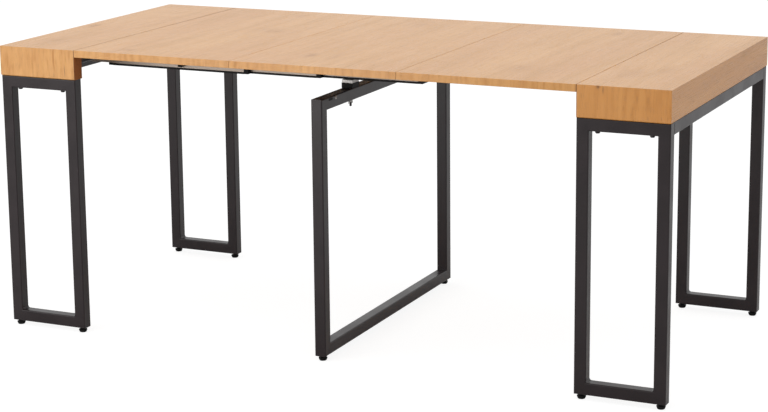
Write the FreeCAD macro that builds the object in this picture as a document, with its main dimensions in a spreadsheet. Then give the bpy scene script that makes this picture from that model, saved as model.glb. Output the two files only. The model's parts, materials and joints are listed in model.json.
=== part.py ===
import FreeCAD, Part
import os
import Sketcher

# An extending dining table, opened out over three loose leaves.
# +X runs along the table, +Y to its rear and +Z up; the origin is on the floor under its middle.
# Two end units on tube frames are joined by a front and a rear telescopic slide. Each slide has
# seven members side by side, hooked into each other by T-tongues, and its wide middle member
# is clamped to a leg of its own.

DIMENSIONS = {
    # The table as a whole
    "table_length": 1800,
    "table_depth": 860,
    "table_height": 750,
    "end_width": 225,
    "leaf_pitch": 450,
    "seam_gap": 0.6,
    # Boards
    "board_thickness": 18,
    "edge_break": 0.5,
    "apron_height": 77,
    "apron_edge_break": 2,
    "apron_thickness": 36,
    "cut_margin": 1,
    # Square tube and the frames made from it
    "tube_size": 30,
    "tube_wall": 1.5,
    "tube_corner": 3,
    "frame_inset": 1,
    "frame_clearance": 13,
    "centre_leg_width": 805,
    "centre_leg_top": 664,
    # Levelling feet, with M8 studs
    "foot_offset": 15,
    "foot_radius": 10.5,
    "foot_base_radius": 7.5,
    "foot_taper_height": 5,
    "foot_pad_height": 9.5,
    "foot_stud_radius": 4,
    "foot_stud_length": 26,
    "running_clearance": 0.05,
    # Bolts that hold the aprons on the frames
    "bolt_offset": 17,
    "bolt_radius": 3,
    "bolt_head_radius": 6,
    "bolt_head_height": 6,
    "bolt_crown_radius": 4.5,
    "bolt_crown_height": 2.5,
    "bolt_depth": 20,
    "bolt_clearance": 0.1,
    # Slide members
    "slide_y": 210,
    "slide_height": 45,
    "strip_height": 5.5,
    "end_member_height": 35.5,
    "lane_pitch": 15,
    "centre_member_width": 40,
    "lane_gap": 0.4,
    "slot_lip": 1.8,
    "tongue_drop": 23,
    "tongue_neck": 6,
    "tongue_head": 14,
    "tongue_head_thickness": 2.2,
    "tongue_clearance": 0.3,
    "member_wall": 2,
    "chamber_start": 9.5,
    "member_length": 414,
    "end_member_length": 431,
    "inner_member_x": 273,
    "outer_member_x": 471.5,
    "end_member_x": 664.5,
    "cap_length": 12,
    "cap_inset": 0.3,
    "plug_length": 10,
    # Battens under the inner edge of an end unit's top
    "batten_size": 20,
    "batten_gap": 2.2,
    # Saddle of the slide on the centre leg
    "saddle_block_length": 40,
    "saddle_plate_depth": 36,
    "saddle_plate_thickness": 7.5,
    "saddle_rib_width": 10,
    "saddle_rib_height": 2.5,
    "stud_radius": 3,
    "stud_drop": 19,
    "stud_chamfer": 1,
    "wing_hub_radius": 5.5,
    "wing_hub_height": 7,
    "wing_reach": 11,
    "wing_top": 12,
    "wing_root": 1.5,
    "wing_tip": 4,
    "wing_thickness": 2.5,
}

# Lanes of a slide, from its outer side inwards: name of the member and its place along the table.
LANES = [
    ("left_end", "end_member_x", -1),
    ("left_outer", "outer_member_x", -1),
    ("left_inner", "inner_member_x", -1),
    ("centre", None, 0),
    ("right_inner", "inner_member_x", 1),
    ("right_outer", "outer_member_x", 1),
    ("right_end", "end_member_x", 1),
]
MIDDLE_LANE = 3

SIDES = {"left": 0, "right": 180}
LEAVES = {"left": -1, "middle": 0, "right": 1}
TOLERANCE = 0.01

document = FreeCAD.newDocument("ExtendingTable")
nodes = []


class Size:
    """A length with its value and the expression that ties it to the sheet."""

    def __init__(self, expression, value):
        self.expression = expression
        self.value = value

    def __add__(self, other):
        other = as_size(other)
        return Size(f"({self.expression} + {other.expression})", self.value + other.value)

    def __sub__(self, other):
        other = as_size(other)
        return Size(f"({self.expression} - {other.expression})", self.value - other.value)

    def __mul__(self, factor):
        return Size(f"({self.expression} * {factor})", self.value * factor)

    def __neg__(self):
        return self * -1


def as_size(number):
    return number if isinstance(number, Size) else Size(str(number), number)


def make_sheet():
    sheet = document.addObject("Spreadsheet::Sheet", "Dimensions")
    for row, (alias, value) in enumerate(DIMENSIONS.items(), start=1):
        sheet.set(f"A{row}", alias)
        sheet.set(f"B{row}", str(value))
        sheet.setAlias(f"B{row}", alias)
    document.recompute()
    return {alias: Size(f"Dimensions.{alias}", sheet.get(alias)) for alias in DIMENSIONS}


d = make_sheet()
ZERO = as_size(0)

# Sizes that several pieces share
half_length = d["table_length"] * 0.5
half_depth = d["table_depth"] * 0.5
end_board = d["end_width"] - d["seam_gap"] * 0.5
board_under = d["table_height"] - d["board_thickness"]
apron_under = d["table_height"] - d["apron_height"]
frame_width = end_board - d["frame_inset"]
frame_height = apron_under - d["frame_clearance"]
frame_middle = d["frame_inset"] + frame_width * 0.5
frame_y = half_depth - d["frame_inset"] - d["tube_size"] * 0.5
bolt_spread = frame_width * 0.5 - d["tube_size"] - d["bolt_offset"]
member_width = d["lane_pitch"] - d["lane_gap"]
centre_width = d["centre_member_width"]
slide_axis = board_under - d["tongue_drop"]
slide_under = board_under - d["slide_height"]
slot_depth = d["slot_lip"] + d["tongue_head_thickness"] + d["tongue_clearance"] * 2
slot_half = (d["tongue_head"] + d["tongue_clearance"] * 2) * 0.5


# Sketches and features


def new_body(label):
    body = document.addObject("PartDesign::Body", label)
    body.Label = label
    return body


def new_sketch(body, plane, height=None):
    """An empty sketch on one of the body's origin planes, lifted along the plane's normal."""
    sketch = body.newObject("Sketcher::SketchObject", f"{body.Name}_sketch")
    support = [feature for feature in body.Origin.OriginFeatures if feature.Role == plane]
    sketch.AttachmentSupport = [(support[0], "")]
    sketch.MapMode = "FlatFace"
    if height is not None:
        sketch.setExpression("AttachmentOffset.Base.z", height.expression)
    return sketch


def pin_point(sketch, geometry, position, point):
    """Tie a point of the sketch to its distances from the sketch's origin."""
    for kind, axis, size in (("DistanceX", -2, point[0]), ("DistanceY", -1, point[1])):
        if size.value == 0:
            sketch.addConstraint(Sketcher.Constraint("PointOnObject", geometry, position, axis))
            continue
        constraint = Sketcher.Constraint(kind, -1, 1, geometry, position, size.value)
        index = sketch.addConstraint(constraint)
        name = f"{kind}{index}"
        sketch.renameConstraint(index, name)
        sketch.setExpression(f"Constraints.{name}", size.expression)


def draw_outline(sketch, corners):
    """A closed outline of straight edges through the corners."""
    corners = [(as_size(u), as_size(v)) for u, v in corners]
    points = [FreeCAD.Vector(u.value, v.value, 0) for u, v in corners]
    first = sketch.GeometryCount
    count = len(points)
    for n in range(count):
        sketch.addGeometry(Part.LineSegment(points[n], points[(n + 1) % count]), False)
    for n in range(count):
        following = first + (n + 1) % count
        sketch.addConstraint(Sketcher.Constraint("Coincident", first + n, 2, following, 1))
    for n, corner in enumerate(corners):
        pin_point(sketch, first + n, 1, corner)


def draw_circle(sketch, centre, radius):
    centre = (as_size(centre[0]), as_size(centre[1]))
    middle = FreeCAD.Vector(centre[0].value, centre[1].value, 0)
    circle = Part.Circle(middle, FreeCAD.Vector(0, 0, 1), radius.value)
    geometry = sketch.addGeometry(circle, False)
    pin_point(sketch, geometry, 3, centre)
    index = sketch.addConstraint(Sketcher.Constraint("Radius", geometry, radius.value))
    sketch.renameConstraint(index, f"Radius{index}")
    sketch.setExpression(f"Constraints.Radius{index}", radius.expression)


def rectangle(low_u, high_u, low_v, high_v):
    return [(low_u, low_v), (high_u, low_v), (high_u, high_v), (low_u, high_v)]


def flipped(corners):
    """The outline's mirror image about the sketch's vertical axis."""
    return [(-as_size(u), v) for u, v in corners]


def pad(body, sketch, length, symmetric=False, backwards=False):
    feature = body.newObject("PartDesign::Pad", f"{body.Name}_pad")
    feature.Profile = sketch
    feature.setExpression("Length", length.expression)
    feature.SideType = "Symmetric" if symmetric else "One side"
    feature.Reversed = backwards
    return feature


def cut_through(body, sketch):
    feature = body.newObject("PartDesign::Pocket", f"{body.Name}_cut")
    feature.Profile = sketch
    feature.Type = "ThroughAll"
    feature.SideType = "Symmetric"
    return feature


def drill_upwards(body, sketch, depth):
    feature = body.newObject("PartDesign::Pocket", f"{body.Name}_hole")
    feature.Profile = sketch
    feature.setExpression("Length", depth.expression)
    feature.Reversed = True
    return feature


def revolve(body, half_outline):
    """Turn an outline, drawn as radius and height, about the body's vertical axis."""
    sketch = new_sketch(body, "XZ_Plane")
    draw_outline(sketch, half_outline)
    feature = body.newObject("PartDesign::Revolution", f"{body.Name}_turn")
    feature.Profile = sketch
    feature.ReferenceAxis = (sketch, ["V_Axis"])
    feature.Angle = 360
    return feature


def dress_edges(body, kind, size_name, size, wanted):
    """A Fillet or Chamfer on those edges of the body for which wanted(edge) is true."""
    document.recompute()
    base = body.Tip
    edges = [f"Edge{n}" for n, edge in enumerate(base.Shape.Edges, start=1) if wanted(edge)]
    feature = body.newObject(f"PartDesign::{kind}", f"{body.Name}_{kind.lower()}")
    feature.Base = (base, edges)
    feature.setExpression(size_name, size.expression)
    return feature


def place(piece, x, y, z, axis=(0, 0, 1), turn=0):
    """Turn the piece about an axis through its own origin, then carry that origin to x, y, z."""
    rotation = FreeCAD.Rotation(FreeCAD.Vector(*axis), turn)
    piece.Placement = FreeCAD.Placement(FreeCAD.Vector(), rotation)
    for letter, size in zip("xyz", (x, y, z)):
        piece.setExpression(f"Placement.Base.{letter}", as_size(size).expression)
    return piece


def gather(label, members):
    """One object that holds the members, so that they can be placed together."""
    compound = document.addObject("Part::Compound", label)
    compound.Label = label
    compound.Links = members
    return compound


def add_node(piece):
    nodes.append(piece)
    return piece


# Boards


def make_leaf(name, place_in_row):
    """A loose leaf: a plain board with its edges broken."""
    body = new_body(f"{name}_leaf")
    width = d["leaf_pitch"] - d["seam_gap"]
    sketch = new_sketch(body, "XY_Plane")
    draw_outline(sketch, rectangle(width * -0.5, width * 0.5, -half_depth, half_depth))
    pad(body, sketch, d["board_thickness"])
    dress_edges(body, "Chamfer", "Size", d["edge_break"], lambda edge: edge.BoundBox.ZLength < 1)
    place(body, d["leaf_pitch"] * place_in_row, 0, board_under)
    add_node(body)


def make_top_board(side, turn):
    """The top of an end unit, mitred to its three aprons, with its inner edge broken."""
    body = new_body(f"{side}_top_board")
    profile = new_sketch(body, "XZ_Plane")
    top = d["table_height"]
    draw_outline(
        profile,
        [
            (d["board_thickness"], board_under),
            (end_board, board_under),
            (end_board, top - d["edge_break"]),
            (end_board - d["edge_break"], top),
            (0, top),
        ],
    )
    pad(body, profile, d["table_depth"], symmetric=True)
    mitre = [
        (half_depth + d["cut_margin"], top + d["cut_margin"]),
        (half_depth - d["board_thickness"] - d["cut_margin"], board_under - d["cut_margin"]),
        (half_depth + d["cut_margin"], board_under - d["cut_margin"]),
    ]
    mitres = new_sketch(body, "YZ_Plane")
    draw_outline(mitres, mitre)
    draw_outline(mitres, flipped(mitre))
    cut_through(body, mitres)
    place(body, half_length * (-1 if turn == 0 else 1), 0, 0, turn=turn)
    add_node(body)


def make_long_apron(side, end, turn):
    """A front or rear apron: a doubled board, mitred to the top and round the outer corner."""
    body = new_body(f"{side}_{end}_apron")
    # The body is turned with its side, so its own front is the table's rear on the right.
    facing = (-1 if end == "front" else 1) * (1 if turn == 0 else -1)
    outer = half_depth * facing
    inner = (half_depth - d["apron_thickness"]) * facing
    fold = (half_depth - d["board_thickness"]) * facing
    profile = new_sketch(body, "YZ_Plane")
    draw_outline(
        profile,
        [
            (outer, apron_under + d["apron_edge_break"]),
            (outer - d["apron_edge_break"] * facing, apron_under),
            (inner, apron_under),
            (inner, board_under),
            (fold, board_under),
            (outer, d["table_height"]),
        ],
    )
    pad(body, profile, end_board)
    beyond = (half_depth + d["cut_margin"]) * facing
    behind = (half_depth - d["apron_thickness"] - d["cut_margin"]) * facing
    corner = new_sketch(body, "XY_Plane")
    draw_outline(
        corner,
        [
            (-d["cut_margin"], beyond),
            (d["board_thickness"], fold),
            (d["board_thickness"], behind),
            (-d["cut_margin"], behind),
        ],
    )
    cut_through(body, corner)
    holes = new_sketch(body, "XY_Plane", height=apron_under)
    hole_radius = d["bolt_radius"] + d["bolt_clearance"]
    for spread in (-bolt_spread, bolt_spread):
        draw_circle(holes, (frame_middle + spread, frame_y * facing), hole_radius)
    drill_upwards(body, holes, d["bolt_depth"] + d["bolt_clearance"])
    place(body, half_length * (-1 if turn == 0 else 1), 0, 0, turn=turn)
    add_node(body)


def make_end_apron(side, turn):
    """The apron across the end of the table, mitred to the top and to both long aprons."""
    body = new_body(f"{side}_end_apron")
    profile = new_sketch(body, "XZ_Plane")
    draw_outline(
        profile,
        [
            (0, apron_under + d["apron_edge_break"]),
            (d["apron_edge_break"], apron_under),
            (d["board_thickness"], apron_under),
            (d["board_thickness"], board_under),
            (0, d["table_height"]),
        ],
    )
    pad(body, profile, d["table_depth"], symmetric=True)
    beyond = half_depth + d["cut_margin"]
    fold = half_depth - d["board_thickness"] - d["cut_margin"]
    corners = new_sketch(body, "XY_Plane")
    for facing in (-1, 1):
        draw_outline(
            corners,
            [
                (-d["cut_margin"], beyond * facing),
                (d["board_thickness"] + d["cut_margin"], fold * facing),
                (d["board_thickness"] + d["cut_margin"], beyond * facing),
            ],
        )
    cut_through(body, corners)
    place(body, half_length * (-1 if turn == 0 else 1), 0, 0, turn=turn)
    add_node(body)


# Square tube


def round_corners(body, size):
    """Round the four long outer edges of a square tube."""

    def is_long_outer_edge(edge):
        on_face = abs(abs(edge.CenterOfMass.y) - size.value * 0.5) < TOLERANCE
        return on_face and edge.BoundBox.YLength < TOLERANCE and edge.Length > size.value * 2

    dress_edges(body, "Fillet", "Radius", d["tube_corner"], is_long_outer_edge)


def make_tube_loop(name, width, height, hole_spread, hole_radius):
    """Four mitred tubes in the XZ plane; the lower rail is drilled for feet, the upper for bolts."""
    size = d["tube_size"]
    wall = d["tube_wall"]
    half = width * 0.5
    bore = size * 0.5 - wall
    tubes = []
    for end, sign in (("outer", -1), ("inner", 1)):
        post = new_body(f"{name}_{end}_post")
        face = new_sketch(post, "XZ_Plane")
        outside = half * sign
        inside = (half - size) * sign
        draw_outline(face, [(outside, 0), (inside, size), (inside, height - size), (outside, height)])
        pad(post, face, size, symmetric=True)
        hollow = new_sketch(post, "XY_Plane")
        draw_outline(hollow, rectangle((half - wall) * sign, (half - size + wall) * sign, -bore, bore))
        cut_through(post, hollow)
        round_corners(post, size)
        tubes.append(post)
    for level in ("lower", "upper"):
        rail = new_body(f"{name}_{level}_rail")
        outside = ZERO if level == "lower" else height
        inside = size if level == "lower" else height - size
        face = new_sketch(rail, "XZ_Plane")
        inner_half = half - size
        draw_outline(
            face, [(-half, outside), (half, outside), (inner_half, inside), (-inner_half, inside)]
        )
        pad(rail, face, size, symmetric=True)
        hollow = new_sketch(rail, "YZ_Plane")
        floor = wall if level == "lower" else height - size + wall
        draw_outline(hollow, rectangle(-bore, bore, floor, floor + bore * 2))
        cut_through(rail, hollow)
        round_corners(rail, size)
        holes = new_sketch(rail, "XY_Plane")
        if level == "lower":
            spread = half - d["foot_offset"]
            radius = d["foot_stud_radius"] + d["running_clearance"]
        else:
            spread = hole_spread
            radius = hole_radius
        draw_circle(holes, (spread, 0), radius)
        draw_circle(holes, (-spread, 0), radius)
        if level == "lower":
            drill_upwards(rail, holes, size * 0.5)
        else:
            cut_through(rail, holes)
        tubes.append(rail)
    return tubes


def make_straight_tube(name, size, length):
    """A length of square tube along its own X axis, centred on its origin."""
    body = new_body(name)
    half = size * 0.5
    bore = half - d["tube_wall"]
    profile = new_sketch(body, "YZ_Plane")
    draw_outline(profile, rectangle(-half, half, -half, half))
    draw_outline(profile, rectangle(-bore, bore, -bore, bore))
    pad(body, profile, length, symmetric=True)
    round_corners(body, size)
    return body


def make_frames():
    """Leg frames and side rails of both ends, and the centre leg."""
    loop = make_tube_loop(
        "leg", frame_width, frame_height, bolt_spread, d["bolt_radius"] + d["bolt_clearance"]
    )
    rail = make_straight_tube("side_rail", d["tube_size"], frame_y * 2 - d["tube_size"])
    for side, turn in SIDES.items():
        outwards = -1 if side == "left" else 1
        for end, facing in (("front", -1), ("rear", 1)):
            frame = gather(f"{side}_{end}_leg_frame", loop)
            place(
                frame,
                (half_length - frame_middle) * outwards,
                frame_y * facing,
                d["frame_clearance"],
                turn=turn,
            )
            add_node(frame)
        side_rail = gather(f"{side}_side_rail", [rail])
        rail_x = half_length - d["frame_inset"] - d["tube_size"] * 0.5
        place(side_rail, rail_x * outwards, 0, apron_under - d["tube_size"] * 0.5, turn=90)
        add_node(side_rail)
    centre_loop = make_tube_loop(
        "centre",
        d["centre_leg_width"],
        d["centre_leg_top"] - d["frame_clearance"],
        d["slide_y"],
        d["stud_radius"] + d["bolt_clearance"],
    )
    centre = gather("centre_leg_frame", centre_loop)
    place(centre, 0, 0, d["frame_clearance"], turn=90)
    add_node(centre)


def make_battens():
    """Short tubes under the inner edge of each top, in front of, between and behind the slides."""
    slide_outside = d["slide_y"] + centre_width * 0.5 + d["lane_pitch"] * MIDDLE_LANE
    tongue_reach = d["slot_lip"] + d["tongue_clearance"] + d["lane_gap"] + d["tongue_head_thickness"]
    slide_inside = d["slide_y"] - centre_width * 0.5 - d["lane_pitch"] * MIDDLE_LANE - tongue_reach
    apron_inside = half_depth - d["apron_thickness"]
    outer_length = apron_inside - slide_outside - d["batten_gap"]
    outer_y = apron_inside - outer_length * 0.5
    half_size = d["batten_size"] * 0.5
    outer = make_straight_tube("outer_batten", d["batten_size"], outer_length)
    middle_length = (slide_inside - d["batten_gap"]) * 2
    middle = make_straight_tube("middle_batten", d["batten_size"], middle_length)
    for side in SIDES:
        outwards = -1 if side == "left" else 1
        x = (half_length - end_board + half_size) * outwards
        z = board_under - half_size
        battens = []
        for source, y in ((outer, -outer_y), (middle, ZERO), (outer, outer_y)):
            batten = gather(f"{side}_batten", [source])
            battens.append(place(batten, x, y, z, turn=90))
        add_node(gather(f"{side}_inner_battens", battens))


# Feet and fasteners


def make_feet():
    """Ten levelling feet: a round pad, tapered to its base, on a stud up into the tube."""
    foot = new_body("levelling_foot")
    pad_top = d["foot_pad_height"]
    stud_top = d["frame_clearance"] + d["foot_stud_length"]
    revolve(
        foot,
        [
            (0, 0),
            (d["foot_base_radius"], 0),
            (d["foot_radius"], d["foot_taper_height"]),
            (d["foot_radius"], pad_top),
            (d["foot_stud_radius"], pad_top),
            (d["foot_stud_radius"], stud_top),
            (0, stud_top),
        ],
    )
    for side in SIDES:
        outwards = -1 if side == "left" else 1
        for end, facing in (("front", -1), ("rear", 1)):
            for corner_name, along in (("outer", 1), ("inner", -1)):
                spread = (frame_width * 0.5 - d["foot_offset"]) * along
                copy = gather(f"{side}_{end}_{corner_name}_foot", [foot])
                place(copy, (half_length - frame_middle + spread) * outwards, frame_y * facing, 0)
                add_node(copy)
    for end, facing in (("front", -1), ("rear", 1)):
        copy = gather(f"centre_{end}_foot", [foot])
        place(copy, 0, (d["centre_leg_width"] * 0.5 - d["foot_offset"]) * facing, 0)
        add_node(copy)


def make_frame_bolts():
    """Button-headed bolts up through the frames' upper rails into the aprons."""
    bolt = new_body("frame_bolt")
    head = d["bolt_head_height"]
    rise = d["tube_size"] + d["bolt_depth"]
    revolve(
        bolt,
        [
            (0, -head),
            (d["bolt_crown_radius"], -head),
            (d["bolt_head_radius"], d["bolt_crown_height"] - head),
            (d["bolt_head_radius"], 0),
            (d["bolt_radius"], 0),
            (d["bolt_radius"], rise),
            (0, rise),
        ],
    )
    for side in SIDES:
        outwards = -1 if side == "left" else 1
        bolts = []
        for facing in (-1, 1):
            for along in (-1, 1):
                x = (half_length - frame_middle + bolt_spread * along) * outwards
                copy = gather(f"{side}_bolt", [bolt])
                bolts.append(place(copy, x, frame_y * facing, apron_under - d["tube_size"]))
        add_node(gather(f"{side}_frame_bolts", bolts))


# Slides


def underside(height):
    """How far a slide member's underside lies from the tongue's axis, given its height."""
    return d["tongue_drop"] - height


def make_member(name, width, height, length):
    """A hollow extrusion with a T-slot in front and a T-tongue behind, centred on its length."""
    body = new_body(name)
    top = d["tongue_drop"]
    bottom = underside(height)
    neck = d["tongue_neck"] * 0.5
    head = d["tongue_head"] * 0.5
    mouth = neck + d["tongue_clearance"]
    lip = d["slot_lip"]
    head_start = width + d["lane_gap"] + lip + d["tongue_clearance"]
    head_end = head_start + d["tongue_head_thickness"]
    tongue = [(head_start, neck), (head_start, head), (head_end, head)]
    slot = [(lip, mouth), (lip, slot_half), (slot_depth, slot_half)]
    profile = new_sketch(body, "YZ_Plane")
    draw_outline(
        profile,
        [
            (width, bottom),
            (width, -neck),
            *[(u, -v) for u, v in tongue],
            *reversed(tongue),
            (width, neck),
            (width, top),
            (0, top),
            (0, mouth),
            *slot,
            *[(u, -v) for u, v in reversed(slot)],
            (0, -mouth),
            (0, bottom),
        ],
    )
    for chamber in chambers(width, height, ZERO):
        draw_outline(profile, chamber)
    behind_slot = d["chamber_start"] - d["member_wall"]
    inner_wall = width - d["member_wall"]
    draw_outline(
        profile, rectangle(slot_depth + d["member_wall"], inner_wall, -behind_slot, behind_slot)
    )
    pad(body, profile, length, symmetric=True)
    return body


def chambers(width, height, inset):
    """The outlines of a member's chambers above and below its slot, drawn in by an inset."""
    low_u = d["member_wall"] + inset
    high_u = width - d["member_wall"] - inset
    start = d["chamber_start"] + inset
    ceiling = d["tongue_drop"] - d["member_wall"] - inset
    floor = underside(height) + d["member_wall"] + inset
    outlines = [rectangle(low_u, high_u, start, ceiling)]
    if -floor.value - start.value > d["member_wall"].value:
        outlines.append(rectangle(low_u, high_u, floor, -start))
    return outlines


def make_cap(name, width, height, cover, way):
    """A moulded end cap, notched for the neighbour's tongue, with plugs into the chambers."""
    body = new_body(name)
    inset = d["cap_inset"]
    low = underside(cover) + inset
    high = d["tongue_drop"] - inset
    notch = slot_half + inset
    back = width - inset
    face = new_sketch(body, "YZ_Plane")
    draw_outline(
        face,
        [
            (inset, low),
            (back, low),
            (back, high),
            (inset, high),
            (inset, notch),
            (slot_depth + inset, notch),
            (slot_depth + inset, -notch),
            (inset, -notch),
        ],
    )
    pad(body, face, d["cap_length"], backwards=way < 0)
    plugs = new_sketch(body, "YZ_Plane")
    for chamber in chambers(width, height, inset):
        draw_outline(plugs, chamber)
    pad(body, plugs, d["plug_length"], backwards=way > 0)
    return body


def make_strip(name, width, length):
    """The black strip that closes the underside of a running member."""
    body = new_body(name)
    low = underside(d["slide_height"])
    profile = new_sketch(body, "YZ_Plane")
    inset = d["cap_inset"]
    draw_outline(profile, rectangle(inset, width - inset, low, low + d["strip_height"]))
    pad(body, profile, length, symmetric=True)
    return body


def lane_face(lane):
    """How far the outer face of a lane's member lies from the table's middle plane."""
    steps = MIDDLE_LANE - lane
    if steps >= 0:
        return d["slide_y"] + centre_width * 0.5 + d["lane_pitch"] * steps
    return d["slide_y"] - centre_width * 0.5 - d["lane_gap"] + d["lane_pitch"] * (steps + 1)


def make_kind(name, width, height, cover, length):
    """A member with its two end caps, and a strip where the caps reach below it: all at its middle."""
    reach = length * 0.5 - d["cap_length"]
    member = make_member(f"{name}_member", width, height, reach * 2)
    caps = {way: make_cap(f"{name}_cap", width, height, cover, way) for way in (-1, 1)}
    strip = make_strip(f"{name}_strip", width, reach * 2) if cover.value > height.value else None
    return {"member": member, "caps": caps, "strip": strip, "reach": reach}


def make_slides():
    """Both slides, lane by lane; the rear one is the front one turned about an upright axis."""
    full = d["slide_height"]
    short = d["end_member_height"]
    running = full - d["strip_height"]
    kinds = {
        "end": make_kind("end", member_width, short, short, d["end_member_length"]),
        "running": make_kind("running", member_width, running, full, d["member_length"]),
        "centre": make_kind("wide", centre_width, running, full, d["member_length"]),
    }
    for lane, (name, x_name, outwards) in enumerate(LANES):
        kind_name = name if name == "centre" else "end" if name.endswith("_end") else "running"
        kind = kinds[kind_name]
        x = d[x_name] * outwards if x_name else ZERO
        y = lane_face(lane)
        trim = []
        for end, facing, turn in (("front", -1, 0), ("rear", 1, 180)):
            member = gather(f"{name}_slide_{end}", [kind["member"]])
            add_node(place(member, x, y * facing, slide_axis, turn=turn))
            for way, cap in kind["caps"].items():
                copy = gather(f"{name}_cap", [cap])
                cap_x = x - kind["reach"] * way * facing
                trim.append(place(copy, cap_x, y * facing, slide_axis, turn=turn))
            if kind["strip"]:
                copy = gather(f"{name}_strip", [kind["strip"]])
                trim.append(place(copy, x, y * facing, slide_axis, turn=turn))
        add_node(gather(f"{name}_slide_caps", trim))


# Saddles on the centre leg


def make_saddles():
    """Block and plate that carry each slide's middle member, clamped down by a stud and wing nut."""
    block_top = slide_under - d["saddle_rib_height"] - d["saddle_plate_thickness"]
    hole_radius = d["stud_radius"] + d["bolt_clearance"]
    half_tube = d["tube_size"] * 0.5

    block = new_body("saddle_block")
    foot_print = new_sketch(block, "XY_Plane")
    half_block = d["saddle_block_length"] * 0.5
    draw_outline(foot_print, rectangle(-half_tube, half_tube, -half_block, half_block))
    draw_circle(foot_print, (0, 0), hole_radius)
    pad(block, foot_print, block_top - d["centre_leg_top"])

    def is_corner(edge):
        on_side = abs(abs(edge.CenterOfMass.x) - half_tube.value) < TOLERANCE
        return on_side and edge.BoundBox.YLength < TOLERANCE

    dress_edges(block, "Chamfer", "Size", d["edge_break"], is_corner)

    plate = new_body("saddle_plate")
    profile = new_sketch(plate, "YZ_Plane")
    half_plate = d["saddle_plate_depth"] * 0.5
    half_rib = d["saddle_rib_width"] * 0.5
    thickness = d["saddle_plate_thickness"]
    rib_top = thickness + d["saddle_rib_height"]
    draw_outline(
        profile,
        [
            (-half_plate, 0),
            (half_plate, 0),
            (half_plate, thickness),
            (half_rib, thickness),
            (half_rib, rib_top),
            (-half_rib, rib_top),
            (-half_rib, thickness),
            (-half_plate, thickness),
        ],
    )
    pad(plate, profile, d["tube_size"], symmetric=True)
    hole = new_sketch(plate, "XY_Plane")
    draw_circle(hole, (0, 0), hole_radius)
    cut_through(plate, hole)

    stud = new_body("clamp_stud")
    rail_under = d["centre_leg_top"] - d["tube_size"]
    stud_under = rail_under - d["stud_drop"]
    chamfer = d["stud_chamfer"]
    revolve(
        stud,
        [
            (0, stud_under),
            (d["stud_radius"] - chamfer, stud_under),
            (d["stud_radius"], stud_under + chamfer),
            (d["stud_radius"], block_top + thickness),
            (0, block_top + thickness),
        ],
    )

    blocks, plates, studs = [], [], []
    for facing in (-1, 1):
        y = d["slide_y"] * facing
        blocks.append(place(gather("block", [block]), 0, y, d["centre_leg_top"]))
        plates.append(place(gather("plate", [plate]), 0, y, block_top))
        studs.append(place(gather("stud", [stud]), 0, y, 0))
    add_node(gather("saddle_blocks", blocks))
    add_node(gather("saddle_plates", plates))
    add_node(gather("clamp_studs", studs))

    nut = make_wing_nut()
    for end, facing in (("front", -1), ("rear", 1)):
        copy = gather(f"{end}_wing_nut", [nut])
        place(copy, 0, d["slide_y"] * facing, rail_under, axis=(1, 0, 0), turn=180)
        add_node(copy)


def make_wing_nut():
    """A wing nut that stands on its origin with its two wings upwards."""
    nut = new_body("wing_nut")
    bore = d["stud_radius"] + d["running_clearance"]
    hub = d["wing_hub_radius"]
    rise = d["wing_hub_height"]
    revolve(nut, [(bore, 0), (hub, 0), (hub, rise), (bore, rise)])
    reach = d["wing_reach"]
    top = d["wing_top"]
    low = d["wing_root"]
    root = (bore + hub) * 0.5
    wing = [
        (root, low),
        (hub, low),
        (reach, top - d["wing_tip"]),
        (reach, top),
        (reach - d["wing_tip"], top),
        (root, rise - low),
    ]
    wings = new_sketch(nut, "YZ_Plane")
    draw_outline(wings, wing)
    draw_outline(wings, flipped(wing))
    pad(nut, wings, d["wing_thickness"], symmetric=True)
    return nut


# The whole table


def check_document():
    """Stop if any object failed, any cut missed its piece, or any node isn't made of sound solids."""
    document.recompute()
    for piece in document.Objects:
        if "Invalid" in piece.State or "Error" in piece.State:
            raise RuntimeError(f"{piece.Label} failed: {piece.State}")
        if piece.TypeId == "PartDesign::Pocket":
            removed = piece.BaseFeature.Shape.Volume - piece.Shape.Volume
            if removed <= 0:
                raise RuntimeError(f"{piece.Label} cuts nothing")
    for node in nodes:
        shape = node.Shape
        if shape.isNull() or not shape.isValid() or not shape.Solids:
            raise RuntimeError(f"{node.Label} has no sound shape")


def write_nodes():
    os.makedirs("parts", exist_ok=True)
    for node in nodes:
        node.Shape.exportStep(f"parts/{node.Label}.step")


for leaf_name, leaf_place in LEAVES.items():
    make_leaf(leaf_name, leaf_place)
for side_name, side_turn in SIDES.items():
    make_top_board(side_name, side_turn)
    make_end_apron(side_name, side_turn)
    for apron_end in ("front", "rear"):
        make_long_apron(side_name, apron_end, side_turn)
make_frames()
make_battens()
make_feet()
make_frame_bolts()
make_slides()
make_saddles()
check_document()
write_nodes()
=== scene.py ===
"""Looks of the extending dining table: materials, small fasteners, floor, light and camera."""

import json
import math

import bmesh
import bpy
from mathutils import Matrix, Vector


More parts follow.
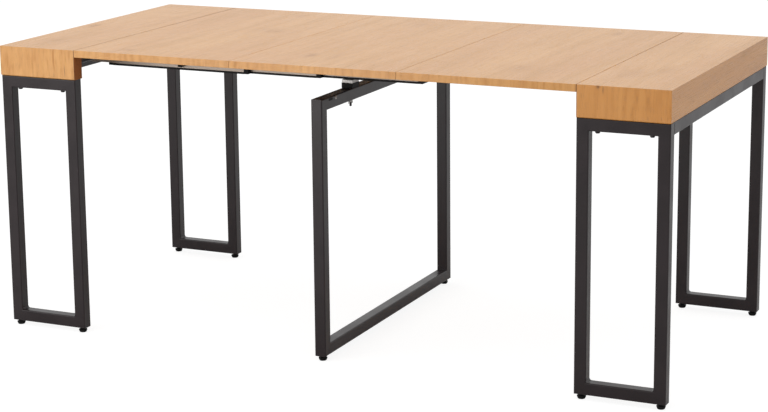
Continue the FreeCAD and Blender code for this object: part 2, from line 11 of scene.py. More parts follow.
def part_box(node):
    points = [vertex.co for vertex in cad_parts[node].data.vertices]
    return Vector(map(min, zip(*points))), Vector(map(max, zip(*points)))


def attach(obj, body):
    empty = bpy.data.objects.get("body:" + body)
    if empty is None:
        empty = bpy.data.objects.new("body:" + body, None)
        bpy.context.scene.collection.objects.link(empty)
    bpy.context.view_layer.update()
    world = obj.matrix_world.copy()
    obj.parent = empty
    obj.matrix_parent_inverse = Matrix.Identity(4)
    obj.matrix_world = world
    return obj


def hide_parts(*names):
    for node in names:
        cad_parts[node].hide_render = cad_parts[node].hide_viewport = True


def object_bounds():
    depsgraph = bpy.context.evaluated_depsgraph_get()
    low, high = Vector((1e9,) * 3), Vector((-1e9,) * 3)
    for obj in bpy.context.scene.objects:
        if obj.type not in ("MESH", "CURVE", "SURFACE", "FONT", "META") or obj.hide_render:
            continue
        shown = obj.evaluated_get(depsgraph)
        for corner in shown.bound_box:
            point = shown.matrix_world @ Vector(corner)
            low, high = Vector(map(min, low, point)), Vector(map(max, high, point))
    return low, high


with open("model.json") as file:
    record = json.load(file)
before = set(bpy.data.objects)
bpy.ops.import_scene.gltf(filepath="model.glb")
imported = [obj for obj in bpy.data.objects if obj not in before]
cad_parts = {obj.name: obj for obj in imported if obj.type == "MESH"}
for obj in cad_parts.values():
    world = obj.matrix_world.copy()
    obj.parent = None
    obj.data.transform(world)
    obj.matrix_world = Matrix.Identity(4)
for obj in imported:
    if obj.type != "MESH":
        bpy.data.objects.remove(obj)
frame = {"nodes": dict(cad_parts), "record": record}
cad_low, cad_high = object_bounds()

MILLIMETRE = 0.001
TOP_HEIGHT = cad_high.z
HALF_LENGTH = cad_high.x
HALF_DEPTH = cad_high.y

# Camera, fitted to the corners of the table in the photograph
FRAME_WIDTH_PX = 768
FRAME_HEIGHT_PX = 412
FOCAL_LENGTH_PX = 2022.8
OPTICAL_CENTRE_Y_PX = 150
SENSOR_WIDTH_MM = 36
CAMERA_PLACE = Vector((2.1716, -4.7245, 1.5437))
CAMERA_AZIMUTH = math.radians(24.739)
CAMERA_ELEVATION = math.radians(11.757)
CAMERA_ROLL = math.radians(-0.543)

# Soft boxes: name, place, target, width, height and level. A level of 1 makes a white matt face that
# looks straight at the light render white.
SOFT_BOXES = (
    ("overhead_light", (-0.3, -0.4, 3.0), (0, 0, TOP_HEIGHT), 3.0, 2.0, 0.13),
    ("key_light", (-2.1, -2.8, 1.45), (-0.8, -0.43, 0.7), 1.4, 2.0, 0.33),
    ("front_light", (0.5, -3.2, 1.2), (0.3, -0.43, 0.6), 3.0, 1.5, 0.04),
    ("centre_light", (-1.1, -2.8, 0.6), (0, -0.4, 0.4), 0.5, 0.8, 0.10),
)
SKY_LEVEL = 0.78

# Floor: its glow and its shaded white as the camera sees them, then its shaded white in reflections and
# as a bounce light
FLOOR_SIZE = 60
FLOOR_GLOW = 0.85
FLOOR_SHADE = 0.28
FLOOR_MIRRORED = 0.95
FLOOR_BOUNCE = 0.45


class Graph:
    """Adds nodes to the shader of one new material and links them."""

    def __init__(self, name):
        self.material = bpy.data.materials.new(name)
        self.material.use_nodes = True
        self.tree = self.material.node_tree
        self.tree.nodes.clear()

    def feed(self, socket, value):
        if isinstance(value, bpy.types.NodeSocket):
            self.tree.links.new(value, socket)
        else:
            socket.default_value = value

    def node(self, kind, inputs=None, **settings):
        made = self.tree.nodes.new(kind)
        for key, value in settings.items():
            setattr(made, key, value)
        for key, value in (inputs or {}).items():
            self.feed(made.inputs[key], value)
        return made

    def place(self):
        """The point that is shaded, in metres in the table's frame."""
        return self.node("ShaderNodeTexCoord").outputs["Object"]

    def math(self, operation, *values, clamp=False):
        made = self.node("ShaderNodeMath", operation=operation, use_clamp=clamp)
        for socket, value in zip(made.inputs, values):
            self.feed(socket, value)
        return made.outputs[0]

    def split(self, vector):
        return self.node("ShaderNodeSeparateXYZ", {"Vector": vector}).outputs

    def join(self, x, y, z):
        return self.node("ShaderNodeCombineXYZ", {"X": x, "Y": y, "Z": z}).outputs[0]

    def choose(self, factor, low, high):
        """A number that goes from low to high as the factor goes from 0 to 1."""
        made = self.node("ShaderNodeMix", data_type="FLOAT")
        for socket, value in zip(made.inputs[:1] + made.inputs[2:4], (factor, low, high)):
            self.feed(socket, value)
        return made.outputs[0]

    def colour(self, factor, low, high):
        """A colour that goes from low to high as the factor goes from 0 to 1."""
        made = self.node("ShaderNodeMix", data_type="RGBA")
        for socket, value in zip(made.inputs[:1] + made.inputs[6:8], (factor, low, high)):
            self.feed(socket, value)
        return made.outputs[2]

    def ramp(self, value, start, end, low=0.0, high=1.0):
        """Maps start to end onto low to high with a smooth step."""
        inputs = {"Value": value, "From Min": start, "From Max": end, "To Min": low, "To Max": high}
        return self.node("ShaderNodeMapRange", inputs, interpolation_type="SMOOTHSTEP").outputs[0]

    def noise(self, vector, scale, detail):
        inputs = {"Vector": vector, "Scale": scale, "Detail": detail}
        return self.node("ShaderNodeTexNoise", inputs).outputs["Fac"]

    def stretched(self, across, along, seed, across_scale, along_scale, detail):
        """Noise in streaks along the grain. The scales are per metre."""
        u = self.math("MULTIPLY", across, across_scale)
        v = self.math("MULTIPLY", along, along_scale)
        return self.noise(self.join(u, v, seed), 1.0, detail)

    def bump(self, height, distance, strength):
        inputs = {"Height": height, "Distance": distance, "Strength": strength}
        return self.node("ShaderNodeBump", inputs).outputs[0]

    def finish(self, **inputs):
        """Ends the shader with one Principled BSDF and returns the material."""
        named = {key.replace("_", " "): value for key, value in inputs.items()}
        shader = self.node("ShaderNodeBsdfPrincipled", named)
        output = self.node("ShaderNodeOutputMaterial")
        self.tree.links.new(shader.outputs[0], output.inputs["Surface"])
        return self.material


def colour(red, green, blue):
    """A linear colour as a shader socket takes it."""
    return (red, green, blue, 1.0)


WHITE = colour(1, 1, 1)

# Range that most values of a noise lie in, and the detail of plain and of rich noise
NOISE_SPAN = (0.3, 0.7)
PLAIN_DETAIL = 2.0
RICH_DETAIL = 3.0

# Oak: the two tones of the boards, the dark figure on the top and on upright faces, smears, knots and
# seams, inner edges (seams and inner edges are partly painted shade between the boards), tints of the
# fronts, and the tint of the ends with its share
OAK_PALE = colour(0.75, 0.378, 0.108)
OAK_WARM = colour(0.68, 0.318, 0.082)
OAK_SHADE = colour(0.56, 0.240, 0.004)
OAK_DARK = colour(0.48, 0.185, 0.030)
OAK_SMEAR = colour(0.48, 0.190, 0.002)
OAK_KNOT = colour(0.16, 0.065, 0.025)
OAK_EDGE_SHADE = colour(0.28, 0.075, 0.015)
OAK_BAND = colour(0.80, 0.45, 0.19)
OAK_RED = colour(0.70, 0.295, 0.075)
OAK_END = colour(0.69, 0.270, 0.015)
OAK_END_SHARE = 0.5

# Least slope of a face that looks along an axis, and how far from the table's ends inner edges begin
FACES_AXIS = 0.7
INNER_EDGE_DEPTH = 0.1

# Dark lines where boards meet, dark joints with painted shade of the gaps between the boards: place
# along the table, reach beside the joint, strength on the top at its front and at its rear, and strength
# on the front edge
SEAM_SHADE_LINES = (
    (-0.675, 0.0024, 0.30, 0.95, 0.70),
    (-0.225, 0.0014, 0.00, 0.00, 0.35),
    (0.225, 0.0014, 0.25, 0.00, 0.50),
    (0.675, 0.0020, 0.15, 0.60, 0.90),
)

# How far beside a joint its line is full, and the slope from which a face has no line
SEAM_CORE = 0.0004
SEAM_SLOPE = 0.8

# Noise of the oak's figure: step from the board's seed, scales per metre across the grain and along it,
# and detail
FIGURE = {
    "tone": (0.0, 6.0, 1.1, PLAIN_DETAIL),
    "band": (5.0, 30.0, 2.0, RICH_DETAIL),
    "sway": (7.0, 9.0, 1.6, PLAIN_DETAIL),
    "ripple": (13.0, 40.0, 5.0, PLAIN_DETAIL),
    "streak": (17.0, 150.0, 8.0, PLAIN_DETAIL),
    "flame": (29.0, 85.0, 16.0, PLAIN_DETAIL),
    "fibre": (19.0, 1100.0, 9.0, PLAIN_DETAIL),
    "pore": (23.0, 1700.0, 45.0, 1.0),
}

# Noise values at which each part of the figure sets in and is full
BAND_RAMP = (0.40, 0.75)
FLAME_RAMP = (0.45, 0.70)
PALE_FLAME_RAMP = (0.45, 0.25)
STREAK_RAMP = (0.60, 0.80)
FIBRE_RAMP = (0.35, 0.75)
PORE_RAMP = (0.58, 0.70)

# How deep each part of the figure is, on the top and ends and on the fronts. Pores are alike on all.
BAND_DEPTH = (0.55, 0.30)
RING_DEPTH = (0.10, 0.15)
FLAME_DEPTH = (0.10, 0.50)
STREAK_DEPTH = (0.14, 0.90)
FIBRE_DEPTH = (0.36, 0.24)
PORE_DEPTH = 0.35

# Year rings: their number per metre, how many rings the sway, the ripple and the knots bend them by, and
# where in a ring the late wood rises and falls
RINGS_PER_METRE = 34.0
RING_BENDS = {"sway": 7.0, "ripple": 0.8, "knots": 1.5}
LATE_WOOD_RISE = (0.25, 0.9)
LATE_WOOD_FALL = (1.0, 0.9)

# Two shares, as start, end, low and high: flames and streaks by the sway, and pores by the late wood
LIVELY_SHARE = (0.38, 0.62, 0.35, 1.0)
PORE_SHARE = (0.0, 0.8, 0.35, 1.0)

# The oak's surface: roughness of polished and of raw wood, fibres against pores, and the bump's height
# and strength
OAK_ROUGHNESS = (0.26, 0.34)
RAW_ROUGHNESS = 0.8
FIBRE_HEIGHT = 0.4
GRAIN_BUMP = (0.0002, 0.5)

# Small dark knots and soft smears of each oak: across the grain, along it, half width, half length and
# strength. Across and along run on over the edges of the top.
KNOTS = {
    "left_end": ((-0.704, -0.486, 0.0014, 0.014, 0.50),),
    "right_end": (
        (0.727, -0.433, 0.004, 0.004, 0.80),
        (0.739, -0.440, 0.002, 0.008, 0.50),
    ),
}
SMEARS = {
    "left_end": (
        (-0.867, -0.030, 0.011, 0.024, 1.40),
        (-0.820, -0.300, 0.030, 0.040, 0.45),
        (-0.853, 0.400, 0.020, 0.040, 0.35),
    ),
    "left_leaf": (
        (-0.345, 0.051, 0.024, 0.022, 0.55),
        (-0.375, 0.072, 0.036, 0.050, 0.35),
        (-0.419, 0.344, 0.016, 0.030, 0.45),
        (-0.550, -0.369, 0.016, 0.014, 0.90),
    ),
    "middle_leaf": (
        (-0.075, -0.277, 0.012, 0.028, 1.30),
        (-0.008, -0.280, 0.010, 0.060, 0.60),
        (-0.033, 0.310, 0.024, 0.040, 0.40),
    ),
    "right_leaf": (
        (0.479, -0.275, 0.034, 0.050, 0.45),
        (0.424, -0.236, 0.014, 0.050, 0.25),
        (0.522, 0.337, 0.014, 0.030, 0.80),
    ),
    "right_end": (
        (0.752, -0.247, 0.032, 0.060, 0.45),
        (0.813, -0.182, 0.016, 0.060, 0.40),
        (0.9125, 0.200, 0.008, 0.030, 0.70),
    ),
}

# Each oak: seed of its figure, shade of its inner edges (partly painted shade), tint of its fronts and
# the tint's share
OAKS = {
    "left_leaf": (3.0, 0.1, OAK_BAND, 0.45),
    "middle_leaf": (41.0, 0.1, OAK_BAND, 0.25),
    "right_leaf": (83.0, 0.1, OAK_BAND, 0.25),
    "left_end": (127.0, 0.8, OAK_BAND, 0.45),
    "right_end": (171.0, 0.8, OAK_RED, 0.60),
}
END_BOARDS = ("top_board", "front_apron", "rear_apron", "end_apron")


def grain_axes(graph):
    """Distances across and along the grain, folded over the edges of the top, and masks of faces.

    The masks are fronts and rears, ends, inner edges, and the seam lines, partly painted shade in the
    gaps.
    """
    texture = graph.node("ShaderNodeTexCoord")
    x, y, z = graph.split(texture.outputs["Object"])
    normal_x, normal_y, _ = graph.split(texture.outputs["Normal"])
    slope = graph.math("ABSOLUTE", normal_x)
    on_end = graph.math("GREATER_THAN", slope, FACES_AXIS)
    on_front = graph.math("GREATER_THAN", graph.math("ABSOLUTE", normal_y), FACES_AXIS)
    drop = graph.math("SUBTRACT", TOP_HEIGHT, z)
    folded_x = graph.math("MULTIPLY", graph.math("SIGN", x), graph.math("ADD", drop, HALF_LENGTH))
    folded_y = graph.math("MULTIPLY", graph.math("SIGN", y), graph.math("ADD", drop, HALF_DEPTH))
    across = graph.choose(on_end, x, folded_x)
    along = graph.choose(on_front, y, folded_y)

    distance = graph.math("ABSOLUTE", x)
    inside = graph.math("LESS_THAN", distance, HALF_LENGTH - INNER_EDGE_DEPTH)
    inner_edge = graph.math("MULTIPLY", on_end, inside)

    seam_shade = 0.0
    for place, reach, near_shade, far_shade, front_shade in SEAM_SHADE_LINES:
        beside = graph.math("ABSOLUTE", graph.math("SUBTRACT", x, place))
        top_shade = graph.ramp(y, -HALF_DEPTH, HALF_DEPTH, near_shade, far_shade)
        shade = graph.choose(on_front, top_shade, front_shade)
        line = graph.math("MULTIPLY", graph.ramp(beside, SEAM_CORE, reach, 1.0, 0.0), shade)
        seam_shade = graph.math("ADD", line, seam_shade)
    seam_shade = graph.math("MULTIPLY", seam_shade, graph.math("LESS_THAN", slope, SEAM_SLOPE))
    return across, along, on_front, on_end, inner_edge, seam_shade


def spot_mask(graph, across, along, spots):
    """The sum of soft ovals: each has its strength in its middle and fades to 0."""
    total = 0.0
    for centre_across, centre_along, half_width, half_length, strength in spots:
        u = graph.math("DIVIDE", graph.math("SUBTRACT", across, centre_across), half_width)
        v = graph.math("DIVIDE", graph.math("SUBTRACT", along, centre_along), half_length)
        square = graph.math("ADD", graph.math("MULTIPLY", u, u), graph.math("MULTIPLY", v, v))
        fade = graph.math("EXPONENT", graph.math("MULTIPLY", square, -1.0))
        total = graph.math("ADD", graph.math("MULTIPLY", fade, strength), total)
    return total


def late_wood_mask(graph, across, bends):
    """The dark part of each year ring. The bends are masks under the names of RING_BENDS."""
    phase = graph.math("MULTIPLY", across, RINGS_PER_METRE)
    for name, rings in RING_BENDS.items():
        phase = graph.math("ADD", phase, graph.math("MULTIPLY", bends[name], rings))
    ring = graph.math("FRACT", phase)
    return graph.math("MULTIPLY", graph.ramp(ring, *LATE_WOOD_RISE), graph.ramp(ring, *LATE_WOOD_FALL))


def oak(name):
    """Matt oak: soft bands, faint year rings, fibres and pores along the grain, knots and smears."""
    seed, edge_shade, front_tint, front_share = OAKS[name]
    graph = Graph(f"{name}_oak")
    across, along, on_front, on_end, inner_edge, seam_shade = grain_axes(graph)
    figure = {}
    for part, (step, across_scale, along_scale, detail) in FIGURE.items():
        figure[part] = graph.stretched(across, along, seed + step, across_scale, along_scale, detail)
    figure["knots"] = spot_mask(graph, across, along, KNOTS.get(name, ()))
    smears = spot_mask(graph, across, along, SMEARS[name])
    late_wood = late_wood_mask(graph, across, figure)
    pores = graph.ramp(figure["pore"], *PORE_RAMP)
    pores = graph.math("MULTIPLY", pores, graph.ramp(late_wood, *PORE_SHARE))
    lively = graph.ramp(figure["sway"], *LIVELY_SHARE)
    dark = graph.colour(graph.math("MAXIMUM", on_front, on_end), OAK_SHADE, OAK_DARK)

    def as_deep(mask, depth):
        return graph.math("MULTIPLY", mask, graph.choose(on_front, *depth))

    base = graph.colour(graph.ramp(figure["tone"], *NOISE_SPAN), OAK_PALE, OAK_WARM)
    base = graph.colour(graph.math("MULTIPLY", on_front, front_share), base, front_tint)
    base = graph.colour(graph.math("MULTIPLY", on_end, OAK_END_SHARE), base, OAK_END)
    base = graph.colour(as_deep(graph.ramp(figure["band"], *BAND_RAMP), BAND_DEPTH), base, dark)
    base = graph.colour(as_deep(late_wood, RING_DEPTH), base, dark)
    for part, ramp, depth, tint in (
        ("flame", FLAME_RAMP, FLAME_DEPTH, dark),
        ("flame", PALE_FLAME_RAMP, FLAME_DEPTH, OAK_PALE),
        ("streak", STREAK_RAMP, STREAK_DEPTH, dark),
    ):
        mask = as_deep(graph.ramp(figure[part], *ramp), depth)
        base = graph.colour(graph.math("MULTIPLY", mask, lively), base, tint)
    base = graph.colour(as_deep(graph.ramp(figure["fibre"], *FIBRE_RAMP), FIBRE_DEPTH), base, dark)
    base = graph.colour(graph.math("MULTIPLY", pores, PORE_DEPTH), base, OAK_KNOT)
    base = graph.colour(graph.math("MULTIPLY", smears, 1.0, clamp=True), base, OAK_SMEAR)
    base = graph.colour(graph.math("MULTIPLY", figure["knots"], 1.0, clamp=True), base, OAK_KNOT)
    # Darker inner edges: partly painted shade between the boards and under the top
    base = graph.colour(graph.math("MULTIPLY", inner_edge, edge_shade), base, OAK_EDGE_SHADE)
    # Seam lines: dark joints, partly painted shade in the gaps between the boards
    base = graph.colour(seam_shade, base, OAK_KNOT)

    height = graph.math("SUBTRACT", graph.math("MULTIPLY", figure["fibre"], FIBRE_HEIGHT), pores)
    polish = graph.ramp(figure["fibre"], *NOISE_SPAN, *OAK_ROUGHNESS)
    roughness = graph.choose(graph.math("MAXIMUM", inner_edge, seam_shade), polish, RAW_ROUGHNESS)
    return graph.finish(Base_Color=base, Roughness=roughness, Normal=graph.bump(height, *GRAIN_BUMP))


# Metals and plastic: two colours and a range of roughness each, specular level where it isn't the usual
# one, scales of noise per metre, and the bump's height and strength
STEEL_DARK = colour(0.0088, 0.0036, 0.0046)
STEEL_PALE = colour(0.0128, 0.0062, 0.0074)
STEEL_ROUGHNESS = (0.29, 0.37)
STEEL_SPECULAR = 0.37
STEEL_PATCH_SCALE = 14.0
PEEL_SCALE = 420.0
PEEL_BUMP = (0.00006, 0.5)

# Aluminium colours kept dark and warm: painted shade from the leaves above the slides
SHADED_ALUMINIUM_DARK = colour(0.24, 0.202, 0.172)
SHADED_ALUMINIUM_PALE = colour(0.34, 0.287, 0.245)
ALUMINIUM_ROUGHNESS = (0.42, 0.54)
DRAW_LINE_SCALES = (12.0, 1500.0, 1500.0)
DRAW_LINE_BUMP = (0.00003, 0.5)

PLASTIC_DARK = colour(0.006, 0.006, 0.006)
PLASTIC_PALE = colour(0.012, 0.0115, 0.0115)
PLASTIC_ROUGHNESS = (0.50, 0.64)
PLASTIC_SPECULAR = 0.12
PLASTIC_PATCH_SCALE = 40.0
PLASTIC_GRAIN_SCALE = 1600.0
PLASTIC_BUMP = (0.00005, 0.6)

ZINC_DARK = colour(0.34, 0.325, 0.312)
ZINC_PALE = colour(0.50, 0.482, 0.466)
ZINC_ROUGHNESS = (0.46, 0.60)
ZINC_CLOUD_SCALE = 220.0
ZINC_BUMP = (0.00004, 0.4)


def powder_coat(name):
    """Black satin powder coat with its fine orange peel."""
    graph = Graph(name)
    place = graph.place()
    peel = graph.noise(place, PEEL_SCALE, PLAIN_DETAIL)
    patch = graph.noise(place, STEEL_PATCH_SCALE, RICH_DETAIL)
    return graph.finish(
        Base_Color=graph.colour(graph.ramp(patch, *NOISE_SPAN), STEEL_DARK, STEEL_PALE),
        Roughness=graph.ramp(patch, *NOISE_SPAN, *STEEL_ROUGHNESS),
        Specular_IOR_Level=STEEL_SPECULAR,
        Normal=graph.bump(peel, *PEEL_BUMP),
    )


def extrusion(name):
    """Mill-finish aluminium with fine draw lines along the slide, its colours darkened as painted shade.
    """
    graph = Graph(name)
    axes = graph.split(graph.place())
    scaled = [graph.math("MULTIPLY", axis, scale) for axis, scale in zip(axes, DRAW_LINE_SCALES)]
    lines = graph.noise(graph.join(*scaled), 1.0, RICH_DETAIL)
    return graph.finish(
        Base_Color=graph.colour(lines, SHADED_ALUMINIUM_DARK, SHADED_ALUMINIUM_PALE),
        Metallic=1.0,
        Roughness=graph.ramp(lines, *NOISE_SPAN, *ALUMINIUM_ROUGHNESS),
        Normal=graph.bump(lines, *DRAW_LINE_BUMP),
    )


def moulding(name):
    """Black moulded plastic with a fine spark-eroded grain."""
    graph = Graph(name)
    place = graph.place()
    grain = graph.noise(place, PLASTIC_GRAIN_SCALE, PLAIN_DETAIL)
    patch = graph.noise(place, PLASTIC_PATCH_SCALE, PLAIN_DETAIL)
    return graph.finish(
        Base_Color=graph.colour(patch, PLASTIC_DARK, PLASTIC_PALE),
        Roughness=graph.ramp(grain, *NOISE_SPAN, *PLASTIC_ROUGHNESS),
        Specular_IOR_Level=PLASTIC_SPECULAR,
        Normal=graph.bump(grain, *PLASTIC_BUMP),
    )


def plating(name):
    """Zinc plate with faint cloudy patches."""
    graph = Graph(name)
    cloud = graph.noise(graph.place(), ZINC_CLOUD_SCALE, RICH_DETAIL)
    return graph.finish(
        Base_Color=graph.colour(cloud, ZINC_DARK, ZINC_PALE),
        Metallic=1.0,
        Roughness=graph.ramp(cloud, *NOISE_SPAN, *ZINC_ROUGHNESS),
        Normal=graph.bump(cloud, *ZINC_BUMP),
    )


def oak_boards():
    """The oak of every board: a figure of its own for each leaf, and one for all boards of an end."""
    boards = {}
    for name in OAKS:
        material = oak(name)
        if name.endswith("_leaf"):
            boards[name] = material
            continue
        side = name.removesuffix("_end")
        for board in END_BOARDS:
            boards[f"{side}_{board}"] = material
    return boards


def dress_nodes():
    """Gives every node of the table its material, and adds the small pieces of the scene."""
    materials = {
        "black_steel": powder_coat("black_powder_coat"),
        "aluminium": extrusion("shaded_drawn_aluminium"),
        "black_plastic": moulding("black_moulding"),
        "zinc": plating("bright_zinc"),
    }
    boards = oak_boards()
    for subpart in frame["record"]["subparts"]:
        node = subpart["node"]
        mesh = frame["nodes"][node].data
        mesh.materials.clear()
        mesh.materials.append(boards.get(node) or materials[subpart["material_slot"]])
        if node.endswith("_foot"):
            make_foot(node, materials["black_plastic"])
    make_rail_screws(materials["zinc"], materials["black_plastic"])
    make_welds(materials["black_steel"])


# Sharpest angle that smooth shading rounds off, and steps of a round piece
SHARP_ANGLE = math.radians(30)
ROUND_STEPS = 36
SMALL_ROUND_STEPS = 24


def new_piece(name, shape, body, material):
    """Turns a bmesh into an object that rides on a body."""
    mesh = bpy.data.meshes.new(name)
    bmesh.ops.recalc_face_normals(shape, faces=shape.faces)
    shape.to_mesh(mesh)
    shape.free()
    mesh.materials.append(material)
    piece = bpy.data.objects.new(name, mesh)
    bpy.context.scene.collection.objects.link(piece)
    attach(piece, body)
    return piece


def smooth(piece):
    """Smooth shading that keeps the sharp edges."""
    piece.data.shade_smooth()
    piece.data.set_sharp_from_angle(angle=SHARP_ANGLE)


def turn_outline(shape, outline, steps):
    """Adds a solid of revolution about Z.

    The outline runs from the axis back to the axis, as radius and height.
    """
    angles = [math.tau * step / steps for step in range(steps)]
    rows = []
    for radius, height in outline:
        if radius == 0:
            rows.append([shape.verts.new((0, 0, height))])
            continue
        ring = [(radius * math.cos(angle), radius * math.sin(angle), height) for angle in angles]
        rows.append([shape.verts.new(point) for point in ring])
    for low, high in zip(rows, rows[1:]):
        for step in range(steps):
            after = (step + 1) % steps
            corners = [low[step % len(low)], low[after % len(low)]]
            corners += [high[after % len(high)], high[step % len(high)]]
            shape.faces.new(list(dict.fromkeys(corners)))


def join_rows(shape, rows):
    """Closes a run of equal rings of points into a solid with two flat ends."""
    shape.faces.new(rows[0])
    shape.faces.new(rows[-1])
    for low, high in zip(rows, rows[1:]):
        for place in range(len(low)):
            after = (place + 1) % len(low)
            shape.faces.new((low[place], low[after], high[after], high[place]))


# Adjustable foot, in millimetres from its centre on the floor: the pad's outline as radius and height,
# its six-sided collar, and the stud with its thread, whose crest is given in parts of the pitch
PAD_HEIGHT = 8.0
PAD_OUTLINE = (
    (0, 0),
    (8.2, 0),
    (8.9, 0.6),
    (10.6, 4.6),
    (11.0, 5.6),
    (11.0, 7.0),
    (10.5, 7.6),
    (5.0, PAD_HEIGHT),
    (0, PAD_HEIGHT),
)
COLLAR_SIDES = 6
COLLAR_ACROSS_FLATS = 11.0
COLLAR_LOW = 7.8
COLLAR_HIGH = 10.6
COLLAR_EASE = 0.5
STUD_RADIUS = 4.0
STUD_LOW = PAD_HEIGHT - 1.0
STUD_TOP = 38.5
THREAD_DEPTH = 0.65
THREAD_PITCH = 1.25
THREAD_CREST = (0.45, 0.6)
PLAIN_PITCHES = 2


def stud_outline():
    """The threaded stud: rings of crest and root, a little below the size of its bore."""
    root = STUD_RADIUS - THREAD_DEPTH
    outline = [(0, STUD_LOW), (root, STUD_LOW)]
    height = COLLAR_HIGH - THREAD_PITCH
    while height < STUD_TOP - PLAIN_PITCHES * THREAD_PITCH:
        outline.append((root, height))
        outline += [(STUD_RADIUS, height + share * THREAD_PITCH) for share in THREAD_CREST]
        height += THREAD_PITCH
    return outline + [(root, height), (root, STUD_TOP), (0, STUD_TOP)]


def collar_outline():
    """The collar, turned in six steps, with its upper edge eased."""
    radius = COLLAR_ACROSS_FLATS / 2 / math.cos(math.pi / COLLAR_SIDES)
    return (
        (0, COLLAR_LOW),
        (radius, COLLAR_LOW),
        (radius, COLLAR_HIGH - COLLAR_EASE),
        (radius - COLLAR_EASE, COLLAR_HIGH),
        (0, COLLAR_HIGH),
    )


def make_foot(node, material):
    """A screwed foot in place of the plain one: pad, six-sided collar and threaded stud."""
    low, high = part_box(node)
    shape = bmesh.new()
    turn_outline(shape, PAD_OUTLINE, ROUND_STEPS)
    turn_outline(shape, stud_outline(), ROUND_STEPS)
    turn_outline(shape, collar_outline(), COLLAR_SIDES)
    centre = Vector(((low.x + high.x) / 2, (low.y + high.y) / 2, low.z))
    settle = Matrix.Translation(centre) @ Matrix.Scale(MILLIMETRE, 4)
    bmesh.ops.transform(shape, matrix=settle, verts=shape.verts)
    foot = new_piece(f"{node}_screwed", shape, node, material)
    smooth(foot)
    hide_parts(node)


# Screw on the side of the centre leg's top rail: its outline in millimetres, from the face outwards, and
# in metres its place and the dark oblong beside it, which paints the shade inside a slot
SCREW_OUTLINE = (
    (0, -0.2),
    (4.6, -0.2),
    (4.6, 0.7),
    (4.1, 1.7),
    (2.9, 2.3),
    (1.7, 2.4),
    (1.5, 1.2),
    (0, 1.0),
)
SCREW_FROM_MIDDLE = 0.325
SCREW_BELOW_RAIL_TOP = 0.0062
SLOT_FROM_SCREW = 0.028
SLOT_LENGTH = 0.022
SLOT_HEIGHT = 0.006
SLOT_PROUD = 0.0002


def slot_shade_shape(face_x, middle_y, middle_z):
    """A thin dark oblong with round ends, let into a face that looks along X: painted shade inside a
    slot.
    """
    shape = bmesh.new()
    radius = SLOT_HEIGHT / 2
    half_run = SLOT_LENGTH / 2 - radius
    rows = []
    for x in (face_x - SLOT_PROUD, face_x + SLOT_PROUD):
        row = []
        for step in range(SMALL_ROUND_STEPS):
            angle = math.tau * (step + 0.5) / SMALL_ROUND_STEPS
            y = middle_y + math.copysign(half_run, math.cos(angle)) + radius * math.cos(angle)
            row.append(shape.verts.new((x, y, middle_z + radius * math.sin(angle))))
        rows.append(row)
    join_rows(shape, rows)
    return shape


def make_rail_screws(zinc, plastic):
    """A screw and beside it a dark oblong, painted shade inside a slot, at both ends of the centre leg's
    top rail.
    """
    _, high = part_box("centre_leg_frame")
    height = high.z - SCREW_BELOW_RAIL_TOP
    outwards = Matrix.Rotation(math.pi / 2, 4, "Y") @ Matrix.Scale(MILLIMETRE, 4)
    for end, sign in (("front", -1), ("rear", 1)):
        shape = bmesh.new()
        turn_outline(shape, SCREW_OUTLINE, SMALL_ROUND_STEPS)
        place = Vector((high.x, sign * SCREW_FROM_MIDDLE, height))
        bmesh.ops.transform(shape, matrix=Matrix.Translation(place) @ outwards, verts=shape.verts)
        screw = new_piece(f"{end}_rail_screw", shape, "centre", zinc)
        smooth(screw)
        slot_shade = slot_shade_shape(high.x, sign * (SCREW_FROM_MIDDLE + SLOT_FROM_SCREW), height)
        new_piece(f"{end}_rail_slot_shade", slot_shade, "centre", plastic)


# Weld beads in the bottom corners of the leg loops: size of the tubes, then the bead's legs, how far it
# sinks into the tubes, its length, its ripple, the taper at its ends, and its steps along and around
TUBE = 0.030
WELD_LEG = 0.0050
WELD_SINK = 0.0003
WELD_LENGTH = 0.0285
WELD_RIPPLE = 0.0008
WELD_PITCH = 0.0036
WELD_TAPER = 0.25
WELD_TAPER_POWER = 8
WELD_STEPS = 26
WELD_ARC = 5


def add_weld(shape, corner, along, first, second):
    """A rippled hollow fillet between two tubes that leave the corner towards first and second."""
    rows = []
    for step in range(WELD_STEPS + 1):
        share = 2 * step / WELD_STEPS - 1
        run = share * WELD_LENGTH / 2
        leg = WELD_LEG * (1 - WELD_TAPER * share**WELD_TAPER_POWER)
        leg += WELD_RIPPLE * abs(math.sin(math.pi * run / WELD_PITCH))
        row = [-WELD_SINK * (first + second), leg * first - WELD_SINK * second]
        for part in range(WELD_ARC + 1):
            angle = math.pi / 2 * part / WELD_ARC
            row.append(leg * (1 - math.sin(angle)) * first + leg * (1 - math.cos(angle)) * second)
        row.append(leg * second - WELD_SINK * first)
        rows.append([shape.verts.new(corner + run * along + point) for point in row])
    join_rows(shape, rows)


def make_welds(material):
    """The weld beads in the bottom corners of the four leg loops, one piece for each loop."""
    sideways = Vector((1, 0, 0))
    depthways = Vector((0, 1, 0))
    up = Vector((0, 0, 1))
    for side in ("left", "right"):
        for end in ("front", "rear"):
            low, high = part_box(f"{side}_{end}_leg_frame")
            shape = bmesh.new()
            for x, inwards in ((low.x + TUBE, sideways), (high.x - TUBE, -sideways)):
                corner = Vector((x, (low.y + high.y) / 2, low.z + TUBE))
                add_weld(shape, corner, depthways, inwards, up)
            welds = new_piece(f"{side}_{end}_leg_welds", shape, f"{side}_end", material)
            smooth(welds)


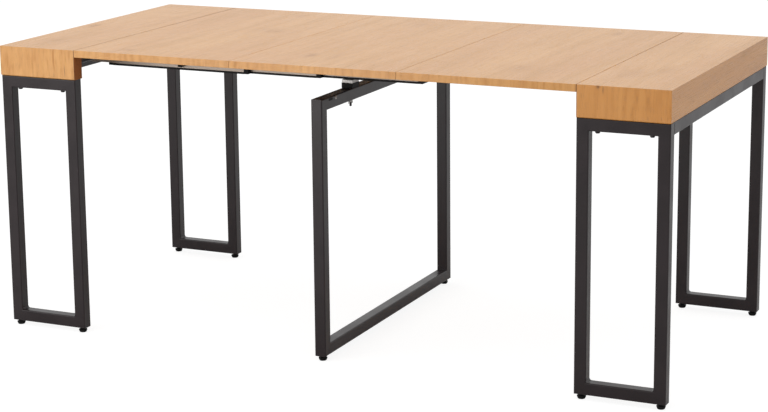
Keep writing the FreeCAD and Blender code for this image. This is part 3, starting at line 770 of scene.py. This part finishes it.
def make_floor():
    """A white floor that keeps part of the table's shadow, seen only from above."""
    mesh = bpy.data.meshes.new("floor")
    half = FLOOR_SIZE / 2
    corners = [(-half, -half, 0), (half, -half, 0), (half, half, 0), (-half, half, 0)]
    mesh.from_pydata(corners, [], [(0, 1, 2, 3)])
    floor = bpy.data.objects.new("floor", mesh)
    bpy.context.scene.collection.objects.link(floor)
    graph = Graph("floor_white")
    path = graph.node("ShaderNodeLightPath")
    in_view = graph.math("MAXIMUM", path.outputs["Is Camera Ray"], path.outputs["Is Transmission Ray"])
    share = graph.choose(path.outputs["Is Glossy Ray"], FLOOR_BOUNCE, FLOOR_MIRRORED)
    share = graph.choose(in_view, share, FLOOR_SHADE)
    shaded = graph.node("ShaderNodeBsdfDiffuse", {"Color": graph.join(share, share, share)})
    strength = graph.math("MULTIPLY", in_view, FLOOR_GLOW)
    glow = graph.node("ShaderNodeEmission", {"Color": WHITE, "Strength": strength})
    seen = graph.node("ShaderNodeAddShader", {0: shaded.outputs[0], 1: glow.outputs[0]})
    clear = graph.node("ShaderNodeBsdfTransparent")
    back = graph.node("ShaderNodeNewGeometry").outputs["Backfacing"]
    both = graph.node("ShaderNodeMixShader", {0: back, 1: seen.outputs[0], 2: clear.outputs[0]})
    output = graph.node("ShaderNodeOutputMaterial")
    graph.tree.links.new(both.outputs[0], output.inputs["Surface"])
    mesh.materials.append(graph.material)


def make_sky():
    """A plain white room: full white to the camera and in reflections, softer as a light."""
    world = bpy.data.worlds.new("white_room")
    bpy.context.scene.world = world
    world.use_nodes = True
    tree = world.node_tree
    tree.nodes.clear()
    path = tree.nodes.new("ShaderNodeLightPath")
    mirrored = tree.nodes.new("ShaderNodeMath")
    mirrored.operation = "MAXIMUM"
    tree.links.new(path.outputs["Is Glossy Ray"], mirrored.inputs[0])
    tree.links.new(path.outputs["Is Transmission Ray"], mirrored.inputs[1])
    seen = tree.nodes.new("ShaderNodeMath")
    seen.operation = "MAXIMUM"
    tree.links.new(path.outputs["Is Camera Ray"], seen.inputs[0])
    tree.links.new(mirrored.outputs[0], seen.inputs[1])
    strength = tree.nodes.new("ShaderNodeMapRange")
    tree.links.new(seen.outputs[0], strength.inputs["Value"])
    strength.inputs["To Min"].default_value = SKY_LEVEL
    strength.inputs["To Max"].default_value = 1.0
    background = tree.nodes.new("ShaderNodeBackground")
    background.inputs["Color"].default_value = WHITE
    tree.links.new(strength.outputs[0], background.inputs["Strength"])
    output = tree.nodes.new("ShaderNodeOutputWorld")
    tree.links.new(background.outputs[0], output.inputs["Surface"])


def make_soft_box(name, place, target, width, height, level):
    """A rectangular light that gives its level at its target."""
    lamp = bpy.data.lights.new(name, "AREA")
    lamp.shape = "RECTANGLE"
    lamp.size = width
    lamp.size_y = height
    reach = Vector(target) - Vector(place)
    lamp.energy = level * math.pi**2 * reach.length_squared
    holder = bpy.data.objects.new(name, lamp)
    holder.location = place
    holder.rotation_mode = "QUATERNION"
    holder.rotation_quaternion = reach.to_track_quat("-Z", "Y")
    bpy.context.scene.collection.objects.link(holder)


def make_camera():
    """The photograph's camera: verticals are kept nearly upright by a small downward shift."""
    data = bpy.data.cameras.new("camera")
    data.sensor_fit = "HORIZONTAL"
    data.sensor_width = SENSOR_WIDTH_MM
    data.lens = FOCAL_LENGTH_PX * SENSOR_WIDTH_MM / FRAME_WIDTH_PX
    data.shift_y = (OPTICAL_CENTRE_Y_PX - FRAME_HEIGHT_PX / 2) / FRAME_WIDTH_PX
    data.clip_end = FLOOR_SIZE
    camera = bpy.data.objects.new("camera", data)
    sin_a, cos_a = math.sin(CAMERA_AZIMUTH), math.cos(CAMERA_AZIMUTH)
    sin_e, cos_e = math.sin(CAMERA_ELEVATION), math.cos(CAMERA_ELEVATION)
    forward = Vector((-sin_a * cos_e, cos_a * cos_e, -sin_e))
    level_right = Vector((cos_a, sin_a, 0))
    level_up = level_right.cross(forward)
    right = math.cos(CAMERA_ROLL) * level_right + math.sin(CAMERA_ROLL) * level_up
    up = math.cos(CAMERA_ROLL) * level_up - math.sin(CAMERA_ROLL) * level_right
    turn = Matrix((right, up, -forward)).transposed()
    camera.matrix_world = Matrix.Translation(CAMERA_PLACE) @ turn.to_4x4()
    bpy.context.scene.collection.objects.link(camera)
    bpy.context.scene.camera = camera


dress_nodes()
make_floor()
make_sky()
for soft_box in SOFT_BOXES:
    make_soft_box(*soft_box)
make_camera()
bpy.context.scene.view_settings.view_transform = "Standard"
